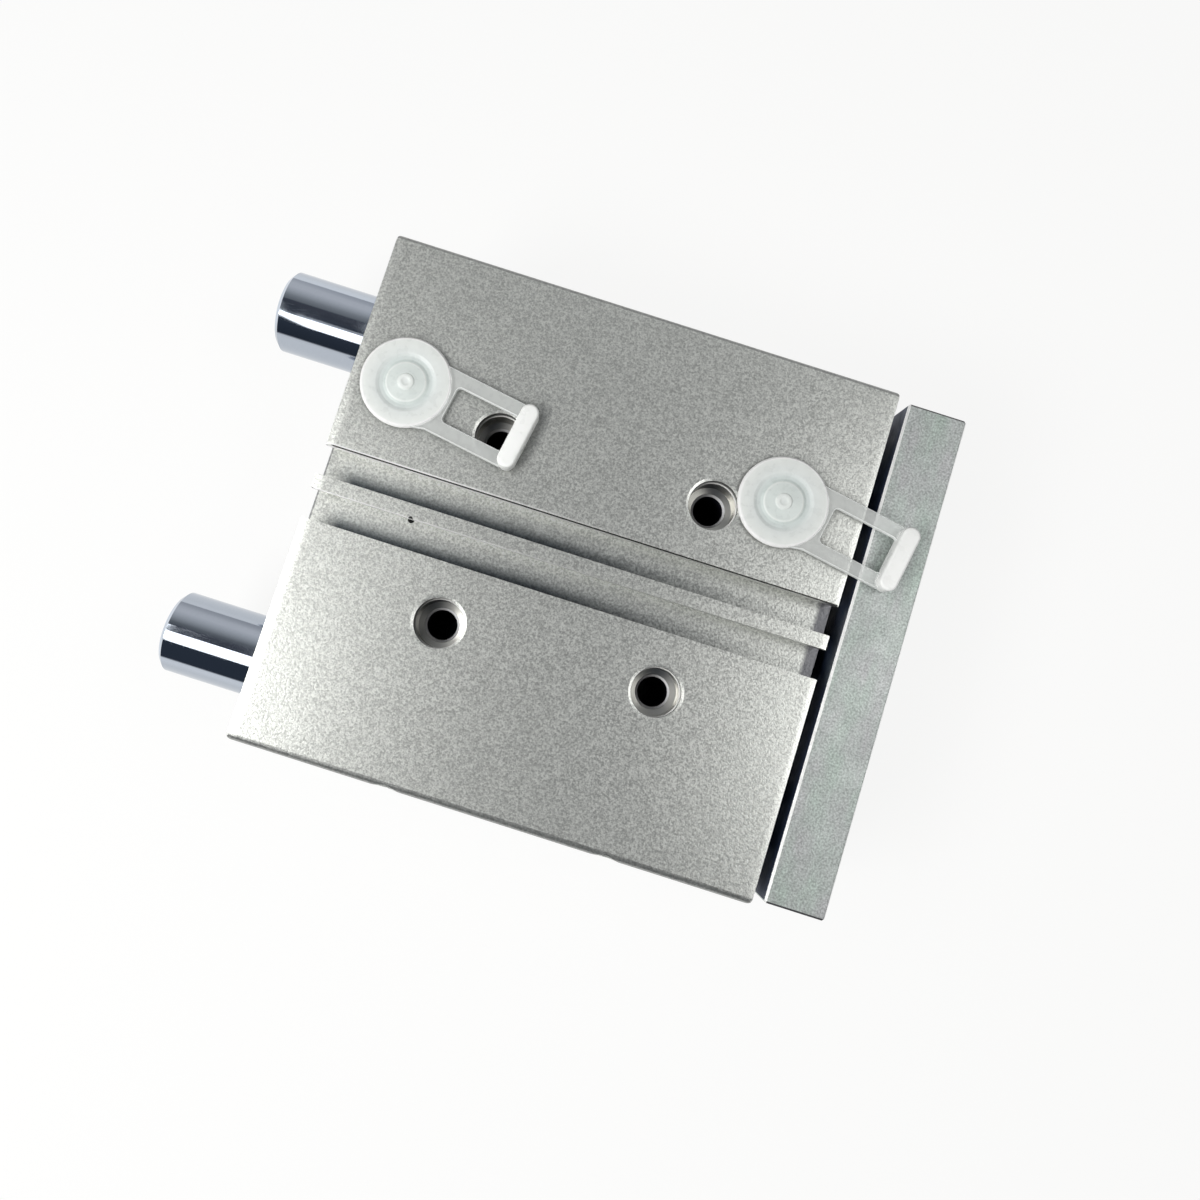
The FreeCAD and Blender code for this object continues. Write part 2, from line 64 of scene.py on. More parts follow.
def addNode(tree, kind, inputs=None, **settings):
    # a socket given as an input is linked, and anything else is set as its value
    node = tree.nodes.new(kind)
    for name, value in settings.items():
        setattr(node, name, value)
    for name, value in (inputs or {}).items():
        if isinstance(value, bpy.types.NodeSocket):
            tree.links.new(value, node.inputs[name])
        else:
            node.inputs[name].default_value = value
    return node


def calc(tree, operation, a, b=0.0, c=0.0, clamp=False):
    node = addNode(tree, "ShaderNodeMath", {0: a, 1: b, 2: c}, operation=operation, use_clamp=clamp)
    return node.outputs[0]


def ramp(tree, value, low, high, start=0.3, end=0.7):
    return addNode(tree, "ShaderNodeMapRange", {
        "Value": value, "From Min": start, "From Max": end, "To Min": low, "To Max": high}).outputs[0]


def colourRamp(tree, value, stops, blend="LINEAR"):
    node = addNode(tree, "ShaderNodeValToRGB", {0: value})
    bands = node.color_ramp
    bands.interpolation = blend
    for element, (position, colour) in zip(bands.elements, (stops[0], stops[-1])):
        element.position, element.color = position, (*colour, 1)
    for position, colour in stops[1:-1]:
        bands.elements.new(position).color = (*colour, 1)
    return node.outputs[0]


def mixColour(tree, factor, a, b, blend="MIX"):
    node = addNode(tree, "ShaderNodeMix", data_type="RGBA", blend_type=blend)
    for socket, value in ((node.inputs[0], factor), (node.inputs[6], a), (node.inputs[7], b)):
        if isinstance(value, bpy.types.NodeSocket):
            tree.links.new(value, socket)
        elif isinstance(value, (int, float)):
            socket.default_value = value
        else:
            socket.default_value = (*value, 1)
    return node.outputs[2]


def grey(tree, value):
    return addNode(tree, "ShaderNodeCombineColor", {0: value, 1: value, 2: value}).outputs[0]


def noise(tree, place, size, detail=2.0, stretch=None):
    # size is the width of a feature, in millimetres
    if stretch:
        place = addNode(tree, "ShaderNodeMapping", {"Vector": place, "Scale": stretch}).outputs[0]
    return addNode(tree, "ShaderNodeTexNoise", {
        "Vector": place, "Scale": 1 / (size * mm), "Detail": detail}).outputs[0]


def axes(tree, place):
    # the place on the part as x, y and z in millimetres
    split = addNode(tree, "ShaderNodeSeparateXYZ", {0: place})
    return [calc(tree, "MULTIPLY", split.outputs[k], 1 / mm) for k in range(3)]


def mirroredReach(tree, a, b, atA, atB):
    # distance from the nearest of four places at plus and minus atA and atB
    a = calc(tree, "SUBTRACT", calc(tree, "ABSOLUTE", a), atA)
    b = calc(tree, "SUBTRACT", calc(tree, "ABSOLUTE", b), atB)
    squares = calc(tree, "MULTIPLY_ADD", a, a, calc(tree, "MULTIPLY", b, b))
    return calc(tree, "SQRT", squares)


def between(tree, value, low, high):
    return calc(tree, "MULTIPLY", calc(tree, "GREATER_THAN", value, low),
                calc(tree, "LESS_THAN", value, high))


def openAround(tree, distance):
    # 1 where nothing stands within the distance in millimetres, and less where something does
    return addNode(tree, "ShaderNodeAmbientOcclusion", {"Distance": distance * mm}, samples=8).outputs["AO"]


def bump(tree, height, strength, distance, normal=None):
    inputs = {"Height": height, "Strength": strength, "Distance": distance * mm}
    if normal:
        inputs["Normal"] = normal
    return addNode(tree, "ShaderNodeBump", inputs).outputs[0]


def startFinish(name, look):
    # a principled surface with its plain values set on the shader itself
    material = bpy.data.materials.new(name)
    material.use_nodes = True
    tree = material.node_tree
    shader = tree.nodes["Principled BSDF"]
    for socket in ("Metallic", "Roughness", "IOR", "Alpha"):
        if socket in look:
            shader.inputs[socket].default_value = look[socket]
    return material, tree, shader, addNode(tree, "ShaderNodeTexCoord").outputs["Object"]


# Shade and bright lines are painted on the housing in fixed places. They don't follow the lamps, and
# they stand for light and shadow more than for the surface itself.
blastedLook = {
    "colour": (0.785, 0.795, 0.755), "Metallic": 0.745, "metallicTurned": 0.96,
    "grain": 0.47, "fine": 0.29, "grainSpread": (0.3, 0.7, 0.74, 1.26), "speckle": (0.77, 1.23),
    "roughness": (0.28, 0.39), "depth": 0.026,
    "ends": (-49.0, 46.5), "edge": 0.4, "flatten": 0.40, "roll": (0.16, 1.7), "rollFront": (0.03, 1.0),
    "topFrom": 41.0, "middleZ": 21.0,
    "holes": (20.0, 17.4), "sideHoles": (20.0, 16.0), "mouth": (4.5, 4.96), "mouthFlatten": 0.33,
    "holeTop": 41.55, "seat": (2.75, 4.35, 0.22), "ripple": (0.0015, 0.3), "turnedRough": 0.29,
    # painted shade on the -X half of each through hole
    "wallShade": (0.3, 1.0, -3.0, 2.5),
    # painted shade along the rounded long edges: on the -Y side and on the +Y side
    "bands": ((-46.2, -46.4, 0.52), (46.6, 46.8, 0.55)), "bandLow": (41.75, 41.2, 0.5),
    "bandFrom": 40.98, "bandTint": (0.07, 0.072, 0.08),
    # the turned hole from 7 mm deep up to the face: bore, lip, seat, wall, step, relieved wall;
    # painted shade makes the bore near black and the relieved wall dark, and painted highlights make the lip
    # and step pale
    "depthReach": (35.0, 42.0),
    "depths": [(0.0, (0.02, 0.02, 0.03)), (0.07, (0.93, 0.93, 0.95)), (0.13, (0.72, 0.71, 0.66)),
               (0.165, (0.5, 0.49, 0.46)), (0.68, (0.92, 0.92, 0.9)), (0.715, (0.16, 0.16, 0.15)),
               (1.0, (0.2, 0.2, 0.2))],
    # flat steps in the holes that mirror little: below the first height, and between the other two
    "steps": (35.95, 39.8, 39.98), "stepDull": 0.8,
    # painted shade and painted highlights across the two slots: how much of the colour is left
    "slotAcross": (-8.0, 8.0),
    "slots": [(0.0, (0.1, 0.11, 0.13)), (0.10, (0.1, 0.11, 0.13)), (0.135, (0.2, 0.22, 0.24)),
              (0.18, (0.48, 0.5, 0.52)), (0.24, (0.85, 0.86, 0.87)), (0.36, (1.04, 1.04, 1.04)),
              (0.48, (1.26, 1.26, 1.28)), (0.55, (1.26, 1.26, 1.28)), (0.56, (0.1, 0.11, 0.13)),
              (0.62, (0.1, 0.11, 0.13)), (0.655, (0.2, 0.22, 0.24)), (0.70, (0.48, 0.5, 0.52)),
              (0.76, (0.85, 0.86, 0.87)), (0.88, (1.04, 1.04, 1.04)), (0.98, (1.26, 1.26, 1.28)),
              (1.0, (1.26, 1.26, 1.28))],
    "slotHeights": (36.9, 41.6), "slotSides": (-7.5, 7.5),
    # along the slots the shade comes in at the rear and fades towards the front
    "slotStart": (0.0, 1.0, -46.8, -43.4), "slotFade": (1.0, 0.12, -5.0, 36.0),
    "slotFront": (0.0, 0.88, 43.9, 44.8), "slotRear": (-48.7, 0.6), "slotEndShade": (0.14, 0.14, 0.16),
    "nicks": ((-30.5, -1.35, 0.4, 41.0, 43.0), (-31.2, -0.95, 0.62, 36.0, 38.0)),
    # a fine line of painted shade beside the slot, and painted highlight lines on the lips that fade towards
    # the front
    "groove": (6.7, 7.02, 41.85, 43.0), "grooveStart": (0.0, 1.0, -48.2, -47.6),
    "nickAndShadeTint": (0.03, 0.03, 0.03),
    "shine": ((6.98, 7.3, 41.0, 43.0, 0.8), (6.6, 6.95, 40.25, 41.85, 1.0), (-1.45, -1.22, 40.25, 43.0, 1.0)),
    "shineReach": (1.0, 0.0, -30.0, 12.0), "shineTint": (1, 1, 1), "shineDull": 0.6,
    # shade on the top face close to the plugs, gone when they are out
    "shadeWidth": 3.0, "shadeClose": (0.5, 0.0, 0.5, 0.95), "shadeFrom": 41.97, "shadeReach": (8.0, 34.0),
    "shadeTint": (0.03, 0.03, 0.03)}


def blastedAluminium():
    look = blastedLook
    material, tree, shader, place = startFinish("blastedAluminium", look)
    x, y, z = axes(tree, place)
    grain = noise(tree, place, look["grain"], 1.0)
    fine = noise(tree, place, look["fine"], 1.0)
    grain = ramp(tree, calc(tree, "ADD", grain, fine), *look["grainSpread"])
    top = calc(tree, "GREATER_THAN", z, look["topFrom"])
    # the mouths and seats of the four through holes are turned, not blasted
    reach = mirroredReach(tree, x, y, *look["holes"])
    turned = calc(tree, "LESS_THAN", reach, look["mouth"][1])
    inHole = calc(tree, "MULTIPLY", turned, calc(tree, "LESS_THAN", z, look["holeTop"]))
    speckle = grey(tree, ramp(tree, grain, *look["speckle"]))
    colour = mixColour(tree, 1.0, look["colour"], speckle, "MULTIPLY")
    # painted shade and painted highlights in the holes, by depth
    inner = colourRamp(tree, ramp(tree, z, 0.0, 1.0, *look["depthReach"]), look["depths"], "CONSTANT")
    # painted shade on the -X half of each hole
    across = calc(tree, "MULTIPLY_ADD", calc(tree, "GREATER_THAN", x, 0.0), -2 * look["holes"][0], x)
    across = calc(tree, "ADD", across, look["holes"][0])
    inner = mixColour(tree, 1.0, inner, grey(tree, ramp(tree, across, *look["wallShade"])), "MULTIPLY")
    colour = mixColour(tree, inHole, colour, inner)
    # shade along the rounded long edges, except where the side holes break into the -Y one
    sideReach = mirroredReach(tree, x, calc(tree, "SUBTRACT", z, look["middleZ"]), *look["sideHoles"])
    offMouth = calc(tree, "GREATER_THAN", sideReach, look["mouth"][1])
    offMouth = calc(tree, "MAXIMUM", offMouth, calc(tree, "GREATER_THAN", y, 0.0))
    band = 0.0
    for start, end, share in look["bands"]:
        band = calc(tree, "ADD", ramp(tree, y, 0.0, share, start, end), band)
    low, high, more = look["bandLow"]
    band = calc(tree, "MULTIPLY", band, calc(tree, "ADD", ramp(tree, z, 0.0, more, low, high), 1.0))
    band = calc(tree, "MULTIPLY", calc(tree, "MULTIPLY", band, offMouth),
                calc(tree, "GREATER_THAN", z, look["bandFrom"]))
    colour = mixColour(tree, band, colour, look["bandTint"])
    # painted shade along the -Y side of each slot, and painted shade at the slot ends
    inSlot = calc(tree, "MULTIPLY", between(tree, z, *look["slotHeights"]),
                  between(tree, y, *look["slotSides"]))
    along = calc(tree, "MULTIPLY", ramp(tree, x, *look["slotStart"]), ramp(tree, x, *look["slotFade"]))
    slotShade = colourRamp(tree, ramp(tree, y, 0.0, 1.0, *look["slotAcross"]), look["slots"])
    colour = mixColour(tree, calc(tree, "MULTIPLY", along, inSlot), colour,
                       mixColour(tree, 1.0, colour, slotShade, "MULTIPLY"))
    # painted shade at the front and rear ends of the slots
    rearEnd, rearShare = look["slotRear"]
    slotEnds = calc(tree, "ADD", ramp(tree, x, *look["slotFront"]),
                    calc(tree, "MULTIPLY", calc(tree, "LESS_THAN", x, rearEnd), rearShare))
    slotEnds = calc(tree, "MULTIPLY", inSlot, slotEnds)
    colour = mixColour(tree, slotEnds, colour, look["slotEndShade"])
    nick = 0.0
    for nickX, nickY, size, low, high in look["nicks"]:
        reachX, reachY = calc(tree, "SUBTRACT", x, nickX), calc(tree, "SUBTRACT", y, nickY)
        spot = calc(tree, "LESS_THAN", mirroredReach(tree, reachX, reachY, 0.0, 0.0), size)
        nick = calc(tree, "MAXIMUM", nick, calc(tree, "MULTIPLY", spot, between(tree, z, low, high)))
    # painted highlight lines on the slot lips, fading towards the front
    shine = 0.0
    for nearY, farY, low, high, share in look["shine"]:
        strip = calc(tree, "MULTIPLY", between(tree, y, nearY, farY), between(tree, z, low, high))
        shine = calc(tree, "MULTIPLY_ADD", strip, share, shine)
    shine = calc(tree, "MULTIPLY", shine, ramp(tree, x, *look["shineReach"]))
    colour = mixColour(tree, shine, colour, look["shineTint"])
    near = ramp(tree, openAround(tree, look["shadeWidth"]), *look["shadeClose"])
    near = calc(tree, "MULTIPLY", near, calc(tree, "GREATER_THAN", z, look["shadeFrom"]))
    near = calc(tree, "MULTIPLY", near, between(tree, y, *look["shadeReach"]))
    colour = mixColour(tree, near, colour, look["shadeTint"])
    # a fine line of painted shade along the slot's edge
    nearY, farY, low, high = look["groove"]
    groove = calc(tree, "MULTIPLY", between(tree, y, nearY, farY), between(tree, z, low, high))
    groove = calc(tree, "MULTIPLY", groove, ramp(tree, x, *look["grooveStart"]))
    colour = mixColour(tree, calc(tree, "MAXIMUM", nick, groove), colour, look["nickAndShadeTint"])
    tree.links.new(colour, shader.inputs["Base Color"])
    rough = mixColour(tree, inHole, grey(tree, ramp(tree, grain, *look["roughness"])),
                      (look["turnedRough"],) * 3)
    tree.links.new(rough, shader.inputs["Roughness"])
    below, low, high = look["steps"]
    dull = calc(tree, "MAXIMUM", calc(tree, "LESS_THAN", z, below), between(tree, z, low, high))
    dull = calc(tree, "MULTIPLY", calc(tree, "MULTIPLY", dull, inHole), look["stepDull"])
    metallic = ramp(tree, inHole, look["Metallic"], look["metallicTurned"], 0.0, 1.0)
    metallic = calc(tree, "SUBTRACT", metallic, dull)
    metallic = calc(tree, "SUBTRACT", metallic, calc(tree, "MULTIPLY", shine, look["shineDull"]), clamp=True)
    tree.links.new(metallic, shader.inputs["Metallic"])
    # worn edges, as heights in millimetres: chamfers lean less and the face rolls off towards both ends
    rear, front = look["ends"]
    height = calc(tree, "MULTIPLY", ramp(tree, x, 0.0, look["flatten"], front - look["edge"], front), top)
    lean = ramp(tree, x, look["flatten"], 0.0, rear, rear + look["edge"])
    height = calc(tree, "MULTIPLY_ADD", lean, top, height)
    lean = ramp(tree, reach, look["mouthFlatten"], 0.0, *look["mouth"])
    height = calc(tree, "MULTIPLY_ADD", lean, top, height)
    for end, way, (drop, width) in ((rear, 1, look["roll"]), (front, -1, look["rollFront"])):
        start = end + way * (look["edge"] + width)
        share = ramp(tree, x, 0.0, 1.0, start, end + way * look["edge"])
        fall = calc(tree, "MULTIPLY", calc(tree, "MULTIPLY", share, share), -drop)
        height = calc(tree, "MULTIPLY_ADD", fall, top, height)
    low, high, slope = look["seat"]
    seat = ramp(tree, reach, 0.0, slope * (high - low), low, high)
    ripple = calc(tree, "SINE", calc(tree, "MULTIPLY", reach, math.tau / look["ripple"][1]))
    seat = calc(tree, "MULTIPLY_ADD", ripple, look["ripple"][0], seat)
    height = calc(tree, "MULTIPLY_ADD", seat, inHole, height)
    grained = calc(tree, "MULTIPLY", calc(tree, "SUBTRACT", 1.0, inHole), look["depth"])
    height = calc(tree, "MULTIPLY_ADD", grain, grained, height)
    tree.links.new(bump(tree, height, 1.0, 1.0), shader.inputs["Normal"])
    return material


plainLook = {"grainShare": 0.5, "tintEnds": (0.35, 0.65), "spread": (-0.5, 0.5), "bump": 0.4}


def plainFinish(name, look, tweak=None):
    # a plain metal, rubber or plastic: a light grain, fine lines one way and soft patches of roughness
    material, tree, shader, place = startFinish(name, look)
    grain = noise(tree, place, look["grain"], 3.0)
    lines = noise(tree, place, look["grain"], 2.0, look["stretch"])
    patch = noise(tree, place, look["patch"], 2.0)
    share = look.get("grainShare", plainLook["grainShare"])
    tint = calc(tree, "ADD", calc(tree, "MULTIPLY", lines, 1 - share), calc(tree, "MULTIPLY", grain, share))
    dark = [c * (1 - look["contrast"]) for c in look["colour"]]
    light = [min(1.0, c * (1 + look["contrast"])) for c in look["colour"]]
    colour = mixColour(tree, ramp(tree, tint, 0.0, 1.0, *plainLook["tintEnds"]), dark, light)
    rough = calc(tree, "ADD", ramp(tree, lines, *plainLook["spread"]),
                 ramp(tree, patch, *plainLook["spread"]))
    rough = calc(tree, "MULTIPLY_ADD", rough, look["roughSpread"], look["Roughness"])
    normal = None
    if tweak:
        colour, rough, normal = tweak(tree, place, colour, rough)
    tree.links.new(colour, shader.inputs["Base Color"])
    tree.links.new(rough, shader.inputs["Roughness"])
    tree.links.new(bump(tree, tint, plainLook["bump"], look["depth"], normal), shader.inputs["Normal"])
    return material


yokeLook = {
    "hue": 4.0, "hueStretch": (1.0, 0.4, 1.0), "hues": ((1.0, 0.97, 1.02), (0.94, 1.03, 0.99)),
    # shade on the face towards the housing, gone when the gap is open
    "gapWidth": 6.0, "gapShade": (1.0, 0.0, 0.55, 0.95), "gapTo": 48.75, "gapTint": (0.03, 0.045, 0.09),
    # painted shade on the chamfers at both ends
    "endFrom": 46.12, "endAbove": 40.59, "endTint": (0.05, 0.05, 0.055),
    # painted highlights on the two long upper edges, which also lean less
    "high": 40.0, "brightInner": (48.72, 49.15), "brightOuter": 59.55, "brightTint": (1.0, 1.0, 0.99),
    "easeInner": (0.21, 0.0, 48.7, 49.1), "easeOuter": (0.0, 0.36, 59.3, 59.7)}


def yokeFaces(tree, place, colour, rough):
    look = yokeLook
    x, y, z = axes(tree, place)
    hue = noise(tree, place, look["hue"], 2.0, look["hueStretch"])
    hue = mixColour(tree, ramp(tree, hue, 0.0, 1.0), *look["hues"])
    colour = mixColour(tree, 1.0, colour, hue, "MULTIPLY")
    shut = ramp(tree, openAround(tree, look["gapWidth"]), *look["gapShade"])
    shut = calc(tree, "MULTIPLY", shut, calc(tree, "LESS_THAN", x, look["gapTo"]))
    colour = mixColour(tree, shut, colour, look["gapTint"])
    high = calc(tree, "GREATER_THAN", z, look["high"])
    # painted shade on the end chamfers
    end = calc(tree, "GREATER_THAN", calc(tree, "ABSOLUTE", y), look["endFrom"])
    end = calc(tree, "MULTIPLY", end, calc(tree, "GREATER_THAN", z, look["endAbove"]))
    colour = mixColour(tree, end, colour, look["endTint"])
    # painted highlights on the two long upper edges
    bright = calc(tree, "ADD", between(tree, x, *look["brightInner"]),
                  calc(tree, "GREATER_THAN", x, look["brightOuter"]))
    colour = mixColour(tree, calc(tree, "MULTIPLY", bright, high), colour, look["brightTint"])
    ease = calc(tree, "ADD", ramp(tree, x, *look["easeInner"]), ramp(tree, x, *look["easeOuter"]))
    ease = calc(tree, "MULTIPLY", ease, high)
    return colour, rough, bump(tree, ease, 1.0, 1.0)


rodLook = {"side": 33.75, "shade": (1.0, 0.74, 4.5, 6.5)}


def rodSides(tree, place, colour, rough):
    # painted shade on both sides of the two guide rods
    x, y, z = axes(tree, place)
    away = calc(tree, "ABSOLUTE", calc(tree, "SUBTRACT", calc(tree, "ABSOLUTE", y), rodLook["side"]))
    shade = grey(tree, ramp(tree, away, *rodLook["shade"]))
    return mixColour(tree, 1.0, colour, shade, "MULTIPLY"), rough, None


rubber = {"Metallic": 0.0, "Roughness": 0.5, "grain": 0.2, "patch": 2.0, "stretch": (1, 1, 1),
          "contrast": 0.2, "roughSpread": 0.08, "depth": 0.01}
metal = {"Metallic": 0.9, "Roughness": 0.34, "grain": 0.2, "patch": 5.0, "stretch": (1, 1, 1),
         "contrast": 0.1, "roughSpread": 0.06, "depth": 0.01}
finishes = {
    "housing_anodised": blastedAluminium(),
    "cap_aluminium": plainFinish("turnedAluminium", {**metal, "colour": (0.72, 0.72, 0.7)}),
    "yoke_steel": plainFinish("coatedSteel", {
        **metal, "colour": (0.52, 0.545, 0.52), "Metallic": 0.55, "Roughness": 0.48, "grain": 0.36,
        "stretch": (0.9, 0.2, 0.9), "grainShare": 0.72, "contrast": 0.34, "roughSpread": 0.12,
        "depth": 0.05}, yokeFaces),
    "screw_steel": plainFinish("zincScrew", {**metal, "colour": (0.5, 0.5, 0.51), "Metallic": 1.0}),
    # the blue in the rods' colour is a painted reflection of dark blue surroundings
    "rod_chrome": plainFinish("groundRod", {
        **metal, "colour": (0.60, 0.655, 0.74), "Metallic": 1.0, "Roughness": 0.07, "grain": 0.1,
        "stretch": (1, 0.1, 0.1), "contrast": 0.03, "roughSpread": 0.03, "depth": 0.0008}, rodSides),
    "spring_steel": plainFinish("phosphatedSpring", {
        **metal, "colour": (0.14, 0.14, 0.15), "Roughness": 0.45}),
    "bush_bronze": plainFinish("sinteredBronze", {
        **metal, "colour": (0.5, 0.33, 0.18), "Roughness": 0.5, "grain": 0.12, "contrast": 0.25}),
    "seal_rubber": plainFinish("nitrileRubber", {**rubber, "colour": (0.02, 0.02, 0.021)}),
    "seal_polymer": plainFinish("darkPolyurethane", {**rubber, "colour": (0.03, 0.035, 0.05)}),
    "cushion_polymer": plainFinish("cushionRubber", {**rubber, "colour": (0.08, 0.16, 0.27)}),
    "magnet_polymer": plainFinish("bondedFerrite", {**rubber, "colour": (0.05, 0.05, 0.05)}),
    "wear_polymer": plainFinish("wearPolymer", {**rubber, "colour": (0.7, 0.68, 0.6), "contrast": 0.08}),
    "plug_plastic": plainFinish("plugPlastic", {**rubber, "colour": (0.86, 0.89, 0.86), "contrast": 0.03}),
}
slotOf = {part["node"]: part["material_slot"] for part in frame["record"]["subparts"]}
for name, node in frame["nodes"].items():
    for index in range(max(1, len(node.data.materials))):
        if index < len(node.data.materials):
            node.data.materials[index] = finishes[slotOf[name]]
        else:
            node.data.materials.append(finishes[slotOf[name]])
print("finishes set on", len(frame["nodes"]), "nodes")


# each port plug is a stepped button, a strap with two rails and a pull bar
plugs = {"rear": -38.8, "front": 31.6}
plugSeat = {"y": 21.6, "z": 42.0, "turn": {"rear": -9.3, "front": -10.2}}
milk = {"Metallic": 0.0, "Roughness": 0.3, "IOR": 1.5, "grain": 0.5, "depth": 0.006, "bump": 0.35,
        "tintReach": 9.0, "cloud": 1.6, "cloudTint": (0.97, 1.03), "cloudRough": (0.24, 0.36)}
buttonLook = {
    "alpha": 0.92, "steps": 72, "round": 0.09, "roundSteps": 2,
    # radius and height above the port face, from the web under the dome to the dimple in the middle
    "profile": [(0, 0.1), (3.2, 0.1), (3.2, -7.0), (3.7, -7.0), (4.2, -6.5), (4.2, 0.0), (7.95, 0.0),
                (8.25, 0.3), (8.25, 0.7), (7.9, 1.1), (5.4, 1.04), (4.75, 0.74), (4.1, 0.72), (3.45, 1.04),
                (1.55, 1.12), (1.35, 1.32), (0.85, 1.38), (0.5, 1.24), (0, 1.18)],
    # milky tints by distance from the middle, with painted highlights at the dome edge and the rim and
    # painted shade in the recess round the dome
    "tintsAndPaintedLight": [(0.0, (0.80, 0.84, 0.83)), (0.1, (0.90, 0.94, 0.92)), (0.155, (0.90, 0.94, 0.92)),
              (0.185, (0.78, 0.84, 0.82)), (0.36, (0.79, 0.85, 0.83)), (0.39, (0.93, 0.97, 0.95)),
              (0.42, (0.70, 0.77, 0.75)), (0.50, (0.73, 0.79, 0.78)), (0.60, (0.84, 0.88, 0.87)),
              (0.80, (0.88, 0.91, 0.89)), (0.845, (0.9, 0.93, 0.91)), (0.865, (1, 1, 1)), (1.0, (1, 1, 1))]}
strapLook = {
    "alpha": 0.35, "edgeAlpha": 0.72, "tint": (0.96, 0.985, 0.975), "level": 0.97,
    "low": 0.2, "thick": 0.8, "corner": 0.8, "cornerSteps": 5, "edge": 0.2, "edgeSteps": 3,
    "outline": [(2.36, -7.5), (4.9, -6.2), (6.8, -4.1), (7.75, -1.8), (7.95, 0), (7.75, 1.8), (6.8, 4.1),
                (5.0, 6.12), (21.6, 6.12), (21.6, -6.12), (6.8, -6.12)],
    "slot": [(8.75, -3.45), (8.75, 3.45), (20.9, 3.45), (20.9, -3.45)]}
barLook = {
    "alpha": 1.0, "tint": (0.99, 1.0, 0.99), "reach": 22.4, "low": 0.2, "high": 3.3, "width": 3.3,
    "length": 12.3, "upright": 1.0, "flat": 0.02, "sideSteps": 10, "rimAbove": 2.0, "top": 0.75,
    "topSteps": 4}


def milkyPlastic(name, alpha, tintsAndPaintedLight):
    material, tree, shader, place = startFinish(name, {**milk, "Alpha": alpha})
    x, y, z = axes(tree, place)
    # both buttons lie the same distance from the middle of this line
    middle = (plugs["rear"] + plugs["front"]) / 2
    away = calc(tree, "SUBTRACT", x, middle)
    reach = mirroredReach(tree, away, calc(tree, "SUBTRACT", y, plugSeat["y"]), plugs["front"] - middle, 0.0)
    # milky tints with painted highlights and painted shade in rings round each button
    colour = colourRamp(tree, calc(tree, "DIVIDE", reach, milk["tintReach"]), tintsAndPaintedLight)
    cloud = noise(tree, place, milk["cloud"])
    colour = mixColour(tree, 1.0, colour, grey(tree, ramp(tree, cloud, *milk["cloudTint"])), "MULTIPLY")
    tree.links.new(colour, shader.inputs["Base Color"])
    tree.links.new(ramp(tree, cloud, *milk["cloudRough"]), shader.inputs["Roughness"])
    fine = noise(tree, place, milk["grain"])
    tree.links.new(bump(tree, fine, milk["bump"], milk["depth"]), shader.inputs["Normal"])
    return material


def even(colour):
    return [(0.0, colour), (1.0, colour)]


plugFinishes = {
    "Button": [milkyPlastic("milkyButton", buttonLook["alpha"], buttonLook["tintsAndPaintedLight"])],
    "Strap": [milkyPlastic("clearStrap", strapLook["alpha"], even(strapLook["tint"])),
              milkyPlastic("strapEdge", strapLook["edgeAlpha"], even(strapLook["tint"]))],
    "Bar": [milkyPlastic("whiteBar", barLook["alpha"], even(barLook["tint"]))]}


# angles in radians and lengths in metres that pick edges and join points
meshLimits = {"sharp": 1.0, "crease": 0.6, "sameHeight": 1e-7, "weld": 1e-6}


def loopOf(mesh, points, z):
    verts = [mesh.verts.new(millimetres(u, v, z)) for u, v in points]
    for a, b in zip(verts, verts[1:] + verts[:1]):
        mesh.edges.new((a, b))
    return verts


def roundEdges(mesh, chosen, size, segments):
    bmesh.ops.bevel(mesh, geom=chosen, offset=size * mm, offset_type="OFFSET", segments=segments,
                    profile=0.5, affect="EDGES", material=-1, clamp_overlap=True)


def roundCorners(mesh, chosen, size, segments):
    bmesh.ops.bevel(mesh, geom=chosen, offset=size * mm, offset_type="OFFSET", segments=segments,
                    profile=0.5, affect="VERTICES", material=-1)


def makeButton(mesh):
    look = buttonLook
    verts = [mesh.verts.new(millimetres(r, 0, z)) for r, z in look["profile"]]
    for a, b in zip(verts, verts[1:]):
        mesh.edges.new((a, b))
    roundCorners(mesh, verts[1:-1], look["round"], look["roundSteps"])
    bmesh.ops.spin(mesh, geom=mesh.verts[:] + mesh.edges[:], cent=(0, 0, 0), axis=(0, 0, 1),
                   dvec=(0, 0, 0), angle=math.tau, steps=look["steps"], use_merge=True)


def makeStrap(mesh):
    look = strapLook
    loopOf(mesh, look["outline"], look["low"])
    inner = loopOf(mesh, look["slot"], look["low"])
    roundCorners(mesh, inner, look["corner"], look["cornerSteps"])
    bmesh.ops.triangle_fill(mesh, use_beauty=True, edges=mesh.edges[:])
    raised = bmesh.ops.extrude_face_region(mesh, geom=mesh.faces[:])["geom"]
    bmesh.ops.translate(mesh, vec=millimetres(0, 0, look["thick"]),
                        verts=[item for item in raised if isinstance(item, bmesh.types.BMVert)])
    bmesh.ops.recalc_face_normals(mesh, faces=mesh.faces[:])
    top = (look["low"] + look["thick"]) * mm
    near = meshLimits["sameHeight"]
    rim = [edge for edge in mesh.edges if all(abs(vert.co.z - top) < near for vert in edge.verts)
           and edge.calc_face_angle(0) > meshLimits["sharp"]]
    roundEdges(mesh, rim, look["edge"], look["edgeSteps"])
    for face in mesh.faces:
        face.material_index = int(abs(face.normal.z) < look["level"])


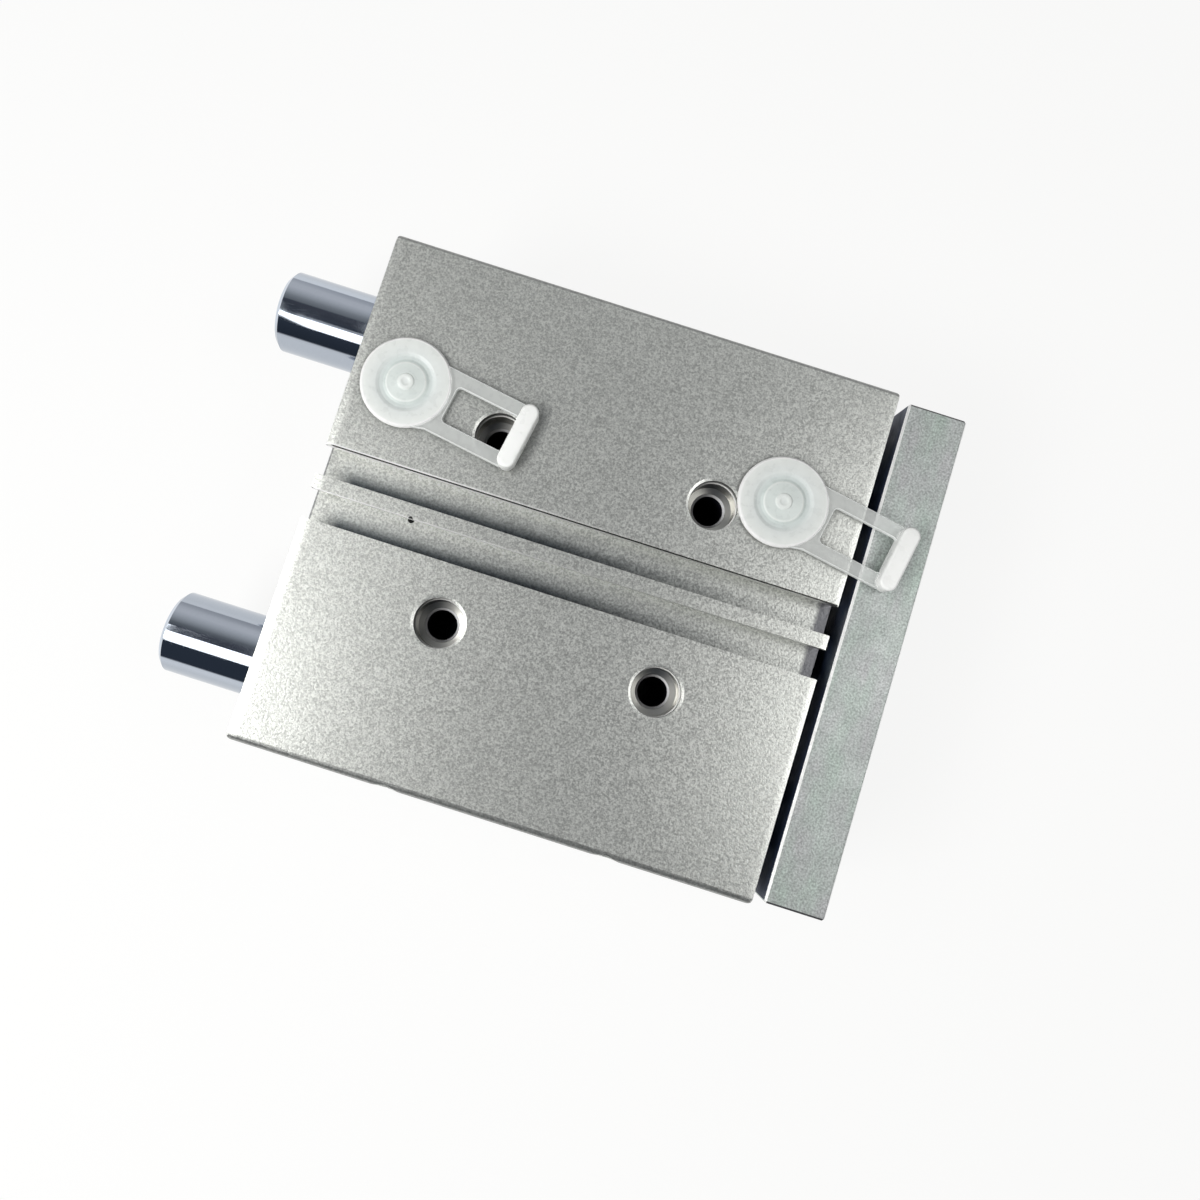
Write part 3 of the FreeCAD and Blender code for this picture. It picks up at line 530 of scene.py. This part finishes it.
def makeBar(mesh):
    look = barLook
    size = (look["width"], look["length"], look["high"] - look["low"])
    bmesh.ops.create_cube(mesh, size=1)
    bmesh.ops.scale(mesh, vec=millimetres(*size), verts=mesh.verts[:])
    bmesh.ops.translate(mesh, vec=millimetres(look["reach"], 0, look["low"] + size[2] / 2),
                        verts=mesh.verts[:])
    upright = [edge for edge in mesh.edges
               if abs((edge.verts[0].co - edge.verts[1].co).z) > look["upright"] * mm]
    roundEdges(mesh, upright, look["width"] / 2 - look["flat"], look["sideSteps"])
    rim = [edge for edge in mesh.edges if edge.calc_face_angle(0) > meshLimits["sharp"]
           and edge.verts[0].co.z > look["rimAbove"] * mm]
    roundEdges(mesh, rim, look["top"], look["topSteps"])


def finishPiece(name, mesh, materials, body, place):
    # weld, turn the faces outwards, move to its place and keep the object itself at the origin
    bmesh.ops.remove_doubles(mesh, verts=mesh.verts[:], dist=meshLimits["weld"])
    bmesh.ops.recalc_face_normals(mesh, faces=mesh.faces[:])
    bmesh.ops.transform(mesh, matrix=place, verts=mesh.verts[:])
    for face in mesh.faces:
        face.smooth = True
    for edge in mesh.edges:
        edge.smooth = edge.calc_face_angle(0) < meshLimits["crease"]
    data = bpy.data.meshes.new(name)
    mesh.to_mesh(data)
    mesh.free()
    for material in materials:
        data.materials.append(material)
    piece = bpy.data.objects.new(name, data)
    scene.collection.objects.link(piece)
    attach(piece, body)
    return piece


for end, x in plugs.items():
    place = (Matrix.Translation(millimetres(x, plugSeat["y"], plugSeat["z"]))
             @ Matrix.Rotation(math.radians(plugSeat["turn"][end]), 4, "Z"))
    for part, build in (("Button", makeButton), ("Strap", makeStrap), ("Bar", makeBar)):
        mesh = bmesh.new()
        build(mesh)
        piece = finishPiece(end + "Plug" + part, mesh, plugFinishes[part], end + "_plug", place)
        if part == "Button":
            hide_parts(end + "_port_plug")
print("port plugs made")


floorLook = {"size": 3.0, "white": (1.0, 1.0, 0.995), "glow": 0.88, "diffuse": (0.86, 0.86, 0.86),
             "rough": 0.9, "gloss": 0.0, "dark": (0.045, 0.045)}


def makeFloor():
    mesh = bmesh.new()
    bmesh.ops.create_grid(mesh, x_segments=1, y_segments=1, size=floorLook["size"] / 2)
    data = bpy.data.meshes.new("floor")
    mesh.to_mesh(data)
    mesh.free()
    floor = bpy.data.objects.new("floor", data)
    scene.collection.objects.link(floor)
    floor.location.z = cadBox[0].z
    material = bpy.data.materials.new("paleFloor")
    material.use_nodes = True
    tree = material.node_tree
    shader = tree.nodes["Principled BSDF"]
    shader.inputs["Base Color"].default_value = (*floorLook["diffuse"], 1)
    shader.inputs["Roughness"].default_value = floorLook["rough"]
    shader.inputs["Specular IOR Level"].default_value = floorLook["gloss"]
    light = addNode(tree, "ShaderNodeLightPath")
    seen = calc(tree, "MAXIMUM", light.outputs["Is Camera Ray"], light.outputs["Is Glossy Ray"])
    seen = calc(tree, "MAXIMUM", seen, light.outputs["Is Transmission Ray"])
    # no glow under the housing, so its through holes look down into the dark
    spot = addNode(tree, "ShaderNodeSeparateXYZ", {0: addNode(tree, "ShaderNodeTexCoord").outputs["Object"]})
    outside = [calc(tree, "GREATER_THAN", calc(tree, "ABSOLUTE", spot.outputs[k]), floorLook["dark"][k])
               for k in range(2)]
    outside = calc(tree, "MAXIMUM", *outside)
    share = calc(tree, "MULTIPLY", calc(tree, "MULTIPLY", seen, outside), floorLook["glow"])
    glow = addNode(tree, "ShaderNodeEmission", {"Color": (*floorLook["white"], 1), "Strength": 1.0})
    mix = addNode(tree, "ShaderNodeMixShader", {0: share, 1: shader.outputs[0], 2: glow.outputs[0]})
    tree.links.new(mix.outputs[0], tree.nodes["Material Output"].inputs["Surface"])
    data.materials.append(material)


worldLook = {
    "fill": (0.1, 0.1, 0.1), "white": (1, 1, 1),
    # what metal sees overhead, from the -Y side to the +Y side
    "ceiling": [(0.0, (0.03, 0.038, 0.052)), (0.35, (0.03, 0.038, 0.052)), (0.5, (0.03, 0.035, 0.048)),
                (0.6, (0.065, 0.07, 0.085)), (0.69, (0.15, 0.16, 0.17)), (0.76, (0.3, 0.31, 0.32)),
                (0.83, (0.44, 0.45, 0.46)), (0.9, (0.57, 0.57, 0.58)), (0.95, (0.56, 0.56, 0.57)),
                (0.985, (0.4, 0.41, 0.43)), (1.0, (0.14, 0.15, 0.18))],
    "paleHeight": (0.10, 0.85, 0.46, 0.66), "paleAcross": (1.0, 0.0, 0.5, 0.7)}


def makeWorld():
    world = bpy.data.worlds.new("studio")
    scene.world = world
    world.use_nodes = True
    tree = world.node_tree
    light = addNode(tree, "ShaderNodeLightPath")
    place = addNode(tree, "ShaderNodeTexCoord").outputs["Generated"]
    x, y, z = addNode(tree, "ShaderNodeSeparateXYZ", {0: place}).outputs
    ceiling = colourRamp(tree, ramp(tree, y, 0.0, 1.0, -1.0, 1.0), worldLook["ceiling"])
    # the pale horizon stands higher at the two ends of the part
    height = ramp(tree, calc(tree, "ABSOLUTE", x), *worldLook["paleHeight"])
    horizon = calc(tree, "SUBTRACT", 1.0, calc(tree, "DIVIDE", z, height), clamp=True)
    horizon = calc(tree, "MULTIPLY", horizon, ramp(tree, y, *worldLook["paleAcross"]))
    glossy = mixColour(tree, horizon, ceiling, worldLook["white"])
    seen = calc(tree, "MAXIMUM", light.outputs["Is Camera Ray"], light.outputs["Is Transmission Ray"])
    colour = mixColour(tree, light.outputs["Is Glossy Ray"], worldLook["fill"], glossy)
    colour = mixColour(tree, seen, colour, worldLook["white"])
    tree.links.new(colour, tree.nodes["Background"].inputs["Color"])
    tree.nodes["Background"].inputs["Strength"].default_value = 1.0


lampColour = (1.0, 1.0, 0.985)
lamps = {
    # the key lights from the rear of the -Y side and isn't mirrored; the strips are what metal mirrors
    "keyLamp": {"place": (-230, -250, 400), "aim": (0, 0, 30), "size": (220, 190), "power": 1.62,
                "mirrored": False},
    "nearStrip": {"place": (-120, -88, 198), "aim": (-120, -88, 0), "size": (50, 105), "power": 0.036,
                  "mirrored": True},
    "midStrip": {"place": (-135, 0, 420), "aim": (-135, 0, 0), "size": (50, 215), "power": 0.033,
                 "mirrored": True},
    "lowStrip": {"place": (-115, -145, 420), "aim": (-115, -145, 0), "size": (190, 140), "power": 0.027,
                 "mirrored": True},
    "leftStrip": {"place": (-300, -70, 420), "aim": (-300, -70, 0), "size": (150, 260), "power": 0.62,
                  "mirrored": True},
    "rightStrip": {"place": (262, 42, 420), "aim": (262, 42, 0), "size": (170, 240), "power": 0.47,
                   "mirrored": True},
}


def makeLamps():
    for name, lamp in lamps.items():
        data = bpy.data.lights.new(name, "AREA")
        data.shape = "RECTANGLE"
        data.size, data.size_y = lamp["size"][0] * mm, lamp["size"][1] * mm
        data.energy = lamp["power"]
        data.color = lampColour
        item = bpy.data.objects.new(name, data)
        away = millimetres(*lamp["place"]) - millimetres(*lamp["aim"])
        turn = away.to_track_quat("Z", "Y").to_matrix().to_4x4()
        item.matrix_world = Matrix.Translation(millimetres(*lamp["place"])) @ turn
        item.visible_camera = False
        item.visible_glossy = lamp["mirrored"]
        scene.collection.objects.link(item)


camera = {"place": (0.131, -21.077, 209.656), "lens": 28.669, "shift": (0.02986, 0.00132),
          "sensor": 36, "clip": (0.01, 10),
          "across": (0.95306, 0.30188, 0.02334), "upward": (-0.30277, 0.94974, 0.07957)}


def makeCamera():
    data = bpy.data.cameras.new("camera")
    data.sensor_width = camera["sensor"]
    data.lens = camera["lens"]
    data.shift_x, data.shift_y = camera["shift"]
    data.clip_start, data.clip_end = camera["clip"]
    item = bpy.data.objects.new("camera", data)
    across, upward = Vector(camera["across"]).normalized(), Vector(camera["upward"]).normalized()
    back = across.cross(upward).normalized()
    turn = Matrix((across, back.cross(across), back)).transposed()
    item.matrix_world = Matrix.Translation(millimetres(*camera["place"])) @ turn.to_4x4()
    scene.collection.objects.link(item)
    scene.camera = item


makeFloor()
makeWorld()
makeLamps()
makeCamera()
scene.view_settings.view_transform = "Standard"
print("floor, world, lamps and camera made")
